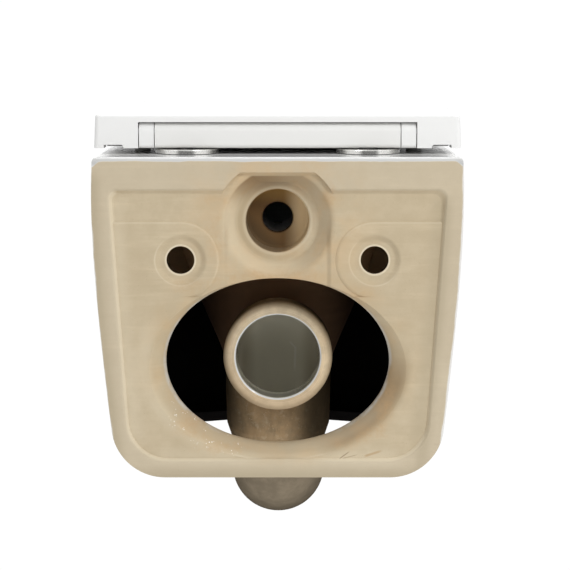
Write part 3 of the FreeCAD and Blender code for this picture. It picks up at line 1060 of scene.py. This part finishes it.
    def _wall_marks(self, made: Finish, look: BiscuitGlaze, colour: Tone,
                    marks: Tuple[Scratch, ...]) -> Tone:
        """Pinholes low on the left and scratches low on the right.

        Args:
            made: material to work on.
            look: colours.
            colour: colour of the clay so far.
            marks: the scratches.

        Returns:
            The marked colour.
        """
        lip = Zone(pattern="pinholes", x=band(-0.115, -0.090, -0.045, -0.030),
                   z=band(-0.190, -0.178, -0.150, -0.120), oval=until(1.12, 1.30))
        colour = Wash("pinholes", look.pinhole, 1.0, lip).lay(made, colour)
        for mark in marks:
            share = made.desk.times(self._stroke(made, mark), mark.share)
            colour = made.desk.blend(share, colour, mark.colour, "scratch")
        return colour

    @staticmethod
    def _trough(made: Finish) -> Socket:
        """Shallow trough that runs from the inlet's dish down to the oval.

        Args:
            made: material to work on.

        Returns:
            The normal bent by the trough's edges.
        """
        inside = Zone(wide=until(0.0450, 0.0505), z=band(-0.060, -0.050, 0.018, 0.046)).mask(made)
        return made.desk.bump(made.desk.minus(1.0, inside), 1.0, 0.0020)

    def back_wall(self, look: BiscuitGlaze, marks: Tuple[Scratch, ...],
                  stains: Tuple[Stain, ...]) -> bpy.types.Material:
        """Bare back face with glazed outer edges.

        Args:
            look: colours.
            marks: scratches in the face.
            stains: patches of kiln stain.

        Returns:
            The material.
        """
        made = Finish("back_wall_biscuit", self.effects)
        self._survey_wall(made)
        colour, height = self._clay(made, look)
        colour = self._border_tone(made, look, colour)
        colour = self._wall_stains(made, look, colour)
        colour = self._kiln_spots(made, look, colour, stains)
        colour = self._wall_bores(made, look, colour)
        colour = self._wall_marks(made, look, colour, marks)
        made.chart["glazed"] = glazed = self._wall_glaze(made)
        # Glaze on the back wall's top edge is darkened here as painted shade.
        shaded_deck_edge = Zone(pattern="glazed", ny=until(-0.40, -0.05), z=above(0.085, 0.090))
        thin = Wash("thin glaze on the deck's edge", look.glaze_shaded, 1.0, shaded_deck_edge)
        return self._dress_clay(made, look, (colour, height), glazed, (thin,), self._trough(made))

    @staticmethod
    def _upper_inside(made: Finish, look: BiscuitGlaze) -> Wash:
        """Brown clay in the pan's hollow, above a plane that falls away from the oval's crown; below it the
        inside keeps its dark painted shade.

        Args:
            made: material to work on.
            look: colours.

        Returns:
            The wash.
        """
        desk = made.desk
        made.chart["crest"] = desk.plus(made.chart["z"], desk.times(made.chart["y"], HOLLOW_FALL))
        return Wash("upper inside", look.amber, 1.0, Zone(crest=above(-0.0150, -0.0110)))

    def skirt(self, look: BiscuitGlaze, inside: Colour) -> bpy.types.Material:
        """Glazed outside; the raw inside painted near black as shade.

        Args:
            look: colours.
            inside: near-black colour painted on the raw inside as shade.

        Returns:
            The material.
        """
        made = Finish("skirt_glaze", self.effects)
        desk, chart = made.desk, made.chart
        out = desk.most(chart["outward"], chart["ny"], desk.times(chart["nz"], -1.0))
        # Raw inside painted near black as shade.
        colour, height = self._clay(made, look.coloured(inside))
        colour = self._upper_inside(made, look).lay(made, colour)
        return self._dress_clay(made, look, (colour, height), desk.step(out, 0.02, 0.12))

    def bowl(self, look: BiscuitGlaze, outside: Colour) -> bpy.types.Material:
        """Glazed inside; raw outside painted dark brown as shade, with a painted lighter middle and painted
        darker sides.

        Args:
            look: colours.
            outside: dark brown painted on the raw outside as shade.

        Returns:
            The material.
        """
        made = Finish("bowl_glaze", self.effects)
        desk, chart = made.desk, made.chart
        run = desk.minus(chart["y"], BOWL_Y)
        away = desk.plus(desk.times(chart["x"], chart["nx"]), desk.times(run, chart["ny"]))
        colour, height = self._clay(made, look.coloured(outside))
        colour = lay_all(
            made, colour,
            # Painted light on the middle and painted shade on the sides of the bowl's back.
            Wash("lighter middle", shade(outside, 2.3), 0.75, Zone(wide=until(0.012, 0.060))),
            Wash("dark sides", shade(outside, 0.30), 0.92, Zone(wide=above(0.046, 0.078))),
            self._upper_inside(made, look),
        )
        return self._dress_clay(made, look, (colour, height), desk.below(away, -0.002, 0.002))

    @staticmethod
    def _from_pipe_axis(made: Finish) -> Socket:
        """Distance from the axis of the trap's bore through spigot, elbow, leg and U bend.

        Args:
            made: material to work on.

        Returns:
            The distance in metres.
        """
        desk = made.desk
        x, y, z = (made.chart[name] for name in "xyz")
        swing = desk.far(desk.minus(y, ELBOW_Y), desk.minus(z, ELBOW_Z))
        elbow = desk.far(desk.minus(swing, ELBOW_R), x)
        away = desk.between(desk.math("GREATER_THAN", y, ELBOW_Y), made.ring(SPIGOT_Z), elbow)
        aside = desk.plus(desk.times(desk.minus(y, LEG_Y), math.sin(LEG_TURN)),
                          desk.times(desk.minus(z, LEG_Z), math.cos(LEG_TURN)))
        away = desk.between(desk.math("LESS_THAN", z, LEG_Z), away, desk.far(aside, x))
        turn = desk.far(desk.minus(y, BEND_Y), desk.minus(z, BEND_Z))
        bend = desk.far(desk.minus(turn, BEND_R), x)
        low = desk.most(desk.math("LESS_THAN", z, BEND_TOP), desk.math("GREATER_THAN", y, BEND_Y))
        return desk.between(low, away, bend)

    def _survey_trap(self, made: Finish) -> None:
        """Add the trap's own coordinates and patterns to the chart.

        Args:
            made: material to work on.
        """
        desk, chart = made.desk, made.chart
        chart["radius"] = made.ring(SPIGOT_Z)
        chart["hull"] = made.ring(BEND_MIDDLE)
        chart["offset"] = desk.size(desk.plus(chart["x"], 0.010))
        swirl = desk.noise(chart["radius"], 420.0, 4.0, 0.6)
        chart["wear"] = desk.plus(swirl, desk.times(desk.noise(made.place, 85.0, 5.0, 0.65), 0.8))
        chart["rust"] = desk.noise(made.place, 30.0, 5.0, 0.65)
        chart["runs"] = desk.noise(desk.stretch(made.place, (110.0, 110.0, 26.0)), 1.0, 5.0, 0.65)
        chart["chalk"] = made.call(self.effects.specks, Density=520.0, Size=0.18)["Mask"]
        chart["burn"] = desk.noise(made.place, 55.0, 5.0, 0.7)
        chart["sheen"] = desk.noise(made.place, 105.0, 5.0, 0.7)
        chart["cloud"] = desk.noise(made.place, 60.0, 5.0, 0.65)

    def _spigot_end(self, made: Finish, look: BiscuitGlaze, trap: TrapColours) -> Tone:
        """Worn tan end of the spigot, with painted light on its top and right, and painted shade on its
        lower half, its left and its rolled outer edge.

        Args:
            made: material to work on.
            look: colours of the fired clay.
            trap: colours of the trap.

        Returns:
            The colour.
        """
        clay, _ = self._clay(made, look.coloured(trap.tan))
        return lay_all(
            made, clay,
            # Painted shade on the lower half and the left, painted light on the right.
            Wash("lower half", trap.tan_painted_shade, 1.0, Zone(z=until(-0.150, -0.070))),
            Wash("left", trap.pipe, 0.20, Zone(x=until(-0.050, -0.020))),
            Wash("right", trap.tan_lit, 0.45, Zone(x=above(0.020, 0.050))),
            Wash("turning marks", trap.pipe, 0.34, Zone(wear=above(0.78, 1.10))),
            # Painted shade on the rolled outer edge.
            Wash("outer edge", trap.pipe, 0.55, Zone(radius=above(0.0450, 0.0530))),
        )

    @staticmethod
    def _pipe_tone(made: Finish, look: BiscuitGlaze, colour: Tone, trap: TrapColours) -> Tone:
        """Stains of the elbow and the leg, a painted sheen in patches, the greyer U bend with painted shade
        on its outline, and painted shade on the leg's flanks.

        Args:
            made: material to work on.
            look: colours.
            colour: colour of the clay so far.
            trap: colours of the trap.

        Returns:
            The stained colour.
        """
        pipe = {"y": above(0.066, 0.080), "z": above(-0.195, -0.185)}
        bend = until(-0.206, -0.192)
        return lay_all(
            made, colour,
            Wash("U bend", trap.low, 1.0, Zone(z=until(-0.225, -0.195))),
            Wash("rust", look.rust, 0.50, Zone(rust=above(0.5, 0.72), z=above(-0.21, -0.19))),
            Wash("dark runs", shade(trap.pipe, 0.45), 0.45, Zone(runs=above(0.42, 0.70), **pipe)),
            Wash("chalk", look.pale, 0.6, Zone(pattern="chalk", **pipe)),
            Wash("burn", look.amber, 0.40, Zone(burn=above(0.36, 0.64), **pipe)),
            # Painted sheen in patches on the pipe.
            Wash("sheen", look.bare, 0.45, Zone(sheen=above(0.52, 0.72), **pipe)),
            Wash("clouds on the bend", shade(trap.low, 1.55), 0.55, Zone(cloud=above(0.34, 0.68), z=bend)),
            # Painted shade on the outline of the bend.
            Wash("outline of the bend", shade(trap.low, 0.28), 0.85, Zone(hull=above(0.026, 0.060), z=bend)),
            # Painted shade on the flanks of the leg.
            Wash("flanks of the leg", shade(trap.pipe, 0.07), 0.92,
                 Zone(offset=above(0.008, 0.046), y=above(0.060, 0.085), z=above(-0.206, -0.192))),
        )

    def _bore_glaze(self, made: Finish, look: BiscuitGlaze, trap: TrapColours,
                    runs: Tuple[Scratch, ...]) -> Tuple[Wash, ...]:
        """Painted shade on the sides of the bore, a darker floor, runs of glaze in it and its white end.

        Args:
            made: material to work on, with the glaze on its chart.
            look: colours of the fired clay.
            trap: colours of the trap.
            runs: where glaze ran down inside the bore.

        Returns:
            The washes.
        """
        darker_floor = Zone(pattern="glazed", z=until(-0.134, -0.116), y=band(SPIGOT_END, 0.0600, 0.072, 0.096))
        # Painted shade on the sides of the bore.
        sides = Zone(pattern="glazed", wide=above(0.020, 0.036), z=until(-0.080, -0.066),
                     y=above(SPIGOT_END, 0.0600))
        washes = [
            Wash("darker_floor", shade(trap.bore, 0.20), 0.85, darker_floor),
            Wash("sides", trap.bore_side_shade, 0.60, sides),
        ]
        for number, run in enumerate(runs):
            name = f"run_{number}"
            made.chart[name] = made.desk.times(self._stroke(made, run), made.chart["glazed"])
            deep = Zone(pattern=name, y=above(0.096, 0.100))
            washes.append(Wash("run of glaze", run.colour, run.share, deep))
        end = Zone(pattern="glazed", y=until(0.0562, SPIGOT_END))
        return (*washes, Wash("white end", look.glaze, 1.0, end))

    def trap(self, look: BiscuitGlaze, trap: TrapColours, runs: Tuple[Scratch, ...]) -> bpy.types.Material:
        """Raw brown pipe with a tan spigot end and a glazed bore.

        Args:
            look: colours of the fired clay.
            trap: colours of the trap.
            runs: where glaze ran down inside the bore.

        Returns:
            The material.
        """
        made = Finish("trap_biscuit", self.effects)
        self._survey_trap(made)
        colour, height = self._clay(made, look.coloured(trap.pipe))
        tan = self._spigot_end(made, look, trap)
        colour = Wash("spigot end", tan, 1.0, Zone(y=until(SPIGOT_END, 0.0740))).lay(made, colour)
        colour = self._pipe_tone(made, look, colour, trap)
        made.chart["glazed"] = glazed = made.desk.below(self._from_pipe_axis(made), *BORE_EDGE)
        thin = replace(look, glaze=trap.bore, glaze_rough=trap.bore_rough, bare_shine=trap.bare_shine)
        over = self._bore_glaze(made, look, trap, runs)
        return self._dress_clay(made, thin, (colour, height), glazed, over)

    def glaze(self, look: BiscuitGlaze) -> bpy.types.Material:
        """Glaze all over, with its coat thinner towards the wall.

        Args:
            look: colours.

        Returns:
            The material.
        """
        made = Finish("rim_glaze", self.effects)
        desk = made.desk
        waves = made.ripple(self.flow)
        made.set(
            Base_Color=desk.blend(desk.times(waves, self.flow.rim_tint), look.glaze, look.bare),
            Roughness=desk.between(waves, *self.flow.rim_rough),
            Coat_Weight=desk.step(made.chart["y"], *self.flow.rim_coat),
            Coat_Roughness=look.coat_rough,
            Specular_IOR_Level=self.flow.rim_shine,
            Normal=desk.bump(waves, self.flow.rim_relief, look.relief_height),
        )
        return made.material

    def channel(self, look: BiscuitGlaze, outside: Colour) -> bpy.types.Material:
        """Raw outside painted dark brown as shade, and a glazed water way.

        Args:
            look: colours.
            outside: dark brown painted on the raw outside as shade.

        Returns:
            The material.
        """
        made = Finish("channel_biscuit", self.effects)
        inside = made.desk.below(made.ring(INLET_Z, CHANNEL_R, CHANNEL_R), 0.90, 0.96)
        return self._dress_clay(made, look, self._clay(made, look.coloured(outside)), inside)

    def plastic(self, name: str, look: MouldedPlastic) -> bpy.types.Material:
        """Moulded plastic with a faint flow in its gloss.

        Args:
            name: name of the material.
            look: colour and gloss.

        Returns:
            The material.
        """
        made = Finish(name, self.effects)
        desk = made.desk
        flow = made.ripple(look)
        low, high = look.gloss
        made.set(
            Base_Color=made.shaded(flow, look),
            Roughness=desk.between(flow, look.rough * low, look.rough * high),
            Normal=desk.bump(flow, look.relief, look.relief_height),
        )
        return made.material

    def metal(self, name: str, look: BareMetal) -> bpy.types.Material:
        """Metal with fine turning marks, and painted reflections on its rims when the look asks for them.

        Args:
            name: name of the material.
            look: colour and gloss.

        Returns:
            The material.
        """
        made = Finish(name, self.effects)
        desk = made.desk
        grain = made.ripple(look)
        tone: Tone = made.shaded(grain, look)
        # Painted reflections on the discs' rims.
        if look.reflection_bands:
            tone = self._paint_reflections(made, look, tone)
        low, high = look.gloss
        made.set(
            Base_Color=tone,
            Roughness=desk.between(grain, look.rough * low, look.rough * high),
            Normal=desk.bump(grain, look.relief, look.relief_height),
            Metallic=1.0,
        )
        return made.material

    @staticmethod
    def _paint_reflections(made: Finish, look: BareMetal, tone: Tone) -> Tone:
        """Painted reflections on the rims of the discs on the wall side: a painted highlight, a painted dark
        band in the middle and darker painted ends.

        Args:
            made: material to work on.
            look: colour of the metal.
            tone: colour so far.

        Returns:
            The banded colour.
        """
        desk = made.desk
        rim = until(-0.35, -0.10)
        made.chart["from_middle"] = desk.size(desk.minus(made.chart["wide"], DISC_X))
        return lay_all(
            made, tone,
            # Painted highlight on the rim, a painted dark reflection in the middle and darker painted ends.
            Wash("rim", look.bright, 1.0, Zone(ny=rim)),
            Wash("middle", shade(look.colour, 0.35), 1.0, Zone(ny=rim, from_middle=until(0.0050, 0.0110))),
            Wash("ends", shade(look.colour, 0.80), 1.0, Zone(ny=rim, from_middle=above(0.0170, 0.0230))),
        )

    def rubber(self, name: str, look: SoftRubber) -> bpy.types.Material:
        """Matt rubber with a bloom.

        Args:
            name: name of the material.
            look: colour and gloss.

        Returns:
            The material.
        """
        made = Finish(name, self.effects)
        desk = made.desk
        mottle = made.call(self.effects.mottle, Large=look.cloud, Small=look.fine)
        bloom = tuple(min(1.0, part * look.bloom_gain + look.bloom_lift) for part in look.colour)
        low, high = look.gloss
        made.set(
            Base_Color=desk.blend(desk.times(mottle["Cloud"], look.bloom_share), look.colour, bloom),
            Roughness=desk.between(mottle["Fine"], look.rough * low, look.rough * high),
            Normal=desk.bump(mottle["Fine"], look.relief, look.relief_height),
        )
        return made.material


def dress(node: str, material: bpy.types.Material) -> None:
    """Give a CAD node its material.

    Args:
        node: name of the node.
        material: its material.
    """
    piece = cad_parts[node]
    if not piece.material_slots:
        piece.data.materials.append(material)
    for place in piece.material_slots:
        place.material = material
    LOG.info("dressed %s with %s", node, material.name)


@dataclass
class Pan:
    """The fired pan in its cast sections."""

    clay: BiscuitGlaze = field(default_factory=BiscuitGlaze)
    trap: TrapColours = field(default_factory=TrapColours)
    # near-black painted shade on the skirt's raw inside
    inside: Colour = (0.006, 0.005, 0.005)
    # dark brown painted shade on the raw outside of the bowl and the flush channel
    bowl_back_shaded: Colour = (0.15, 0.085, 0.046)
    marks: Tuple[Scratch, ...] = (
        Scratch((0.0573, -0.1873), (0.0680, -0.1795), 0.0007, (0.25, 0.18, 0.11)),
        Scratch((0.0600, -0.1868), (0.0760, -0.1828), 0.0005, (0.34, 0.26, 0.17)),
        Scratch((0.0800, -0.1850), (0.0990, -0.1788), 0.0016, (0.46, 0.32, 0.18)),
    )
    drips: Tuple[Scratch, ...] = (
        Scratch((0.0176, -0.1050), (0.0166, -0.1370), 0.0016, (0.95, 0.93, 0.86), 0.55),
        Scratch((0.0186, -0.1100), (0.0105, -0.1010), 0.0014, (0.95, 0.93, 0.86), 0.55),
    )
    stains: Tuple[Stain, ...] = (
        Stain((-0.059, 0.022), (0.013, 0.036), 0.30),
        Stain((-0.056, 0.057), (0.018, 0.006), 0.35),
        Stain((0.047, 0.058), (0.008, 0.015), 0.45),
        Stain((0.050, 0.012), (0.007, 0.030), 0.12),
        Stain((0.000, -0.0150), (0.055, 0.007), 0.45),
        Stain((-0.082, -0.024), (0.024, 0.010), 0.30),
        Stain((0.076, -0.030), (0.022, 0.010), 0.30),
        Stain((-0.080, -0.155), (0.020, 0.015), 0.45),
        Stain((-0.042, -0.177), (0.034, 0.007), 0.40),
        Stain((0.106, -0.120), (0.007, 0.026), 0.35),
        Stain((0.098, -0.142), (0.009, 0.022), 0.45),
        Stain((0.083, -0.160), (0.018, 0.011), 0.40),
        Stain((0.056, -0.172), (0.020, 0.007), 0.30),
    )

    def dress(self, shop: FinishShop) -> None:
        """Finish every section.

        Args:
            shop: maker of the materials.
        """
        dress(Section.BACK.value, shop.back_wall(self.clay, self.marks, self.stains))
        dress(Section.SKIRT.value, shop.skirt(self.clay, self.inside))
        dress(Section.RIM.value, shop.glaze(self.clay))
        dress(Section.BOWL.value, shop.bowl(self.clay, self.bowl_back_shaded))
        dress(Section.TRAP.value, shop.trap(self.clay, self.trap, self.drips))
        dress(Section.CHANNEL.value, shop.channel(self.clay, self.bowl_back_shaded))


@dataclass
class SeatAndLid:
    """Seat ring, lid, hinge bar and what sits in them."""

    white: MouldedPlastic = MouldedPlastic((0.855, 0.855, 0.845))
    bar: MouldedPlastic = MouldedPlastic((0.82, 0.818, 0.80), 0.34)
    grey: MouldedPlastic = MouldedPlastic((0.30, 0.30, 0.31), 0.45)
    buffer: SoftRubber = SoftRubber((0.80, 0.80, 0.77))

    def dress(self, shop: FinishShop) -> None:
        """Finish every moving piece.

        Args:
            shop: maker of the materials.
        """
        white = shop.plastic("seat_white", self.white)
        bar = shop.plastic("bar_white", self.bar)
        grey = shop.plastic("damper_grey", self.grey)
        rubber = shop.rubber("buffer_rubber", self.buffer)
        for node in ("seat_ring", "lid"):
            dress(node, white)
        for node in ("hinge_bar", "bar_inner_bush", "bar_end_bush"):
            dress(node, bar)
        for node in ("seat_damper", "lid_damper"):
            dress(node, grey)
        for node in ("seat_buffers", "lid_buffers"):
            dress(node, rubber)


@dataclass
class HingeHardware:
    """Discs, posts, shafts and the fixings under the deck."""

    # discs with painted reflections on their rims
    chrome: BareMetal = BareMetal((0.80, 0.79, 0.76), 0.26, 900.0, reflection_bands=True)
    zinc: BareMetal = BareMetal((0.62, 0.62, 0.63), 0.32, 700.0)
    steel: BareMetal = BareMetal((0.56, 0.57, 0.58), 0.24, 800.0)
    nut: MouldedPlastic = MouldedPlastic((0.78, 0.78, 0.76), 0.40)
    soft: SoftRubber = SoftRubber((0.07, 0.07, 0.075))

    def dress(self, shop: FinishShop) -> None:
        """Finish the fixed hinge pieces.

        Args:
            shop: maker of the materials.
        """
        dress("hinge_base_discs", shop.metal("disc_chrome", self.chrome))
        dress("hinge_posts", shop.metal("post_zinc", self.zinc))
        steel = shop.metal("drawn_steel", self.steel)
        for node in ("hinge_post_shafts", "seat_bolts", "lid_pins"):
            dress(node, steel)
        dress("seat_wing_nuts", shop.plastic("nut_white", self.nut))
        soft = shop.rubber("gasket_rubber", self.soft)
        for node in ("hinge_disc_gaskets", "seat_bolt_washers"):
            dress(node, soft)


@dataclass(frozen=True)
class Softbox:
    """Square lamp, its side in metres and its power in watts."""

    name: str
    place: Place
    aim: Place
    size: float
    power: float


@dataclass
class Studio:
    """Floor, light and camera."""

    floor_z: float = -0.80
    floor_half: float = 3.0
    floor_back: float = 1.6
    floor_tone: Colour = (0.95, 0.95, 0.95)
    floor_rough: float = 0.9
    lamps: Tuple[Softbox, ...] = (
        Softbox("key_softbox", (1.3, -1.8, 1.4), (0.0, 0.1, 0.0), 0.8, 26.5),
        Softbox("top_softbox", (0.0, 0.5, 2.1), (0.0, 0.25, 0.0), 1.2, 17.0),
    )
    eye: Place = (0.0069, -1.8075, 0.2115)
    pitch: float = 7.4
    focal_pixels: float = 1963.0
    frame_pixels: float = 570.0
    sensor: float = 36.0
    backdrop: float = 1.02
    backdrop_from: float = 0.80
    backdrop_full: float = 0.93
    room_low: float = 0.46
    room_high: float = 0.86
    room_from: float = -0.3
    room_full: float = 0.9

    def build(self) -> None:
        """Set the studio up."""
        self._floor()
        self._world()
        for lamp in self.lamps:
            self._hang(lamp)
        self._camera()
        view = bpy.context.scene.view_settings
        view.view_transform = "Standard"
        view.look = "None"

    def _floor(self) -> None:
        """Pale floor well below the pan."""
        half = self.floor_half
        mesh = bpy.data.meshes.new("floor")
        corners = [(-half, -half, self.floor_z), (half, -half, self.floor_z),
                   (half, self.floor_back, self.floor_z), (-half, self.floor_back, self.floor_z)]
        mesh.from_pydata(corners, [], [(0, 1, 2, 3)])
        floor = bpy.data.objects.new("floor", mesh)
        bpy.context.scene.collection.objects.link(floor)
        material = bpy.data.materials.new("floor_pale")
        material.use_nodes = True
        shader = material.node_tree.nodes["Principled BSDF"]
        shader.inputs["Base Color"].default_value = (*self.floor_tone, 1.0)
        shader.inputs["Roughness"].default_value = self.floor_rough
        mesh.materials.append(material)

    def _world(self) -> None:
        """White backdrop beyond the wall side, dimmer room all round."""
        world = bpy.data.worlds.new("studio")
        bpy.context.scene.world = world
        world.use_nodes = True
        desk = Desk(world.node_tree)
        sky = world.node_tree.nodes["Background"]
        _, y, z = desk.split(desk.node("ShaderNodeTexCoord").outputs["Generated"])
        backdrop = desk.step(y, self.backdrop_from, self.backdrop_full)
        room = desk.between(desk.step(z, self.room_from, self.room_full), self.room_low, self.room_high)
        sky.inputs["Color"].default_value = (1.0, 1.0, 1.0, 1.0)
        desk.put(sky.inputs["Strength"], desk.between(backdrop, room, self.backdrop))

    @staticmethod
    def _hang(box: Softbox) -> None:
        """Hang a softbox.

        Args:
            box: the lamp.
        """
        data = bpy.data.lights.new(box.name, "AREA")
        data.size = box.size
        data.energy = box.power
        lamp = bpy.data.objects.new(box.name, data)
        lamp.location = box.place
        lamp.rotation_euler = (Vector(box.aim) - Vector(box.place)).to_track_quat("-Z", "Y").to_euler()
        bpy.context.scene.collection.objects.link(lamp)

    def _camera(self) -> None:
        """Camera where the photograph was taken from."""
        data = bpy.data.cameras.new("camera")
        data.sensor_fit = "HORIZONTAL"
        data.sensor_width = self.sensor
        data.lens = self.focal_pixels / self.frame_pixels * self.sensor
        camera = bpy.data.objects.new("camera", data)
        camera.location = self.eye
        camera.rotation_euler = (math.radians(90.0 - self.pitch), 0.0, 0.0)
        bpy.context.scene.collection.objects.link(camera)
        bpy.context.scene.camera = camera


def main() -> None:
    """Dress the pan, the seat and the hinges, then set up the studio."""
    logging.basicConfig(level=logging.INFO)
    shop = FinishShop()
    for assembly in (Pan(), SeatAndLid(), HingeHardware()):
        assembly.dress(shop)
        LOG.info("finished %s", type(assembly).__name__)
    Studio().build()


if __name__ == "__main__":
    main()
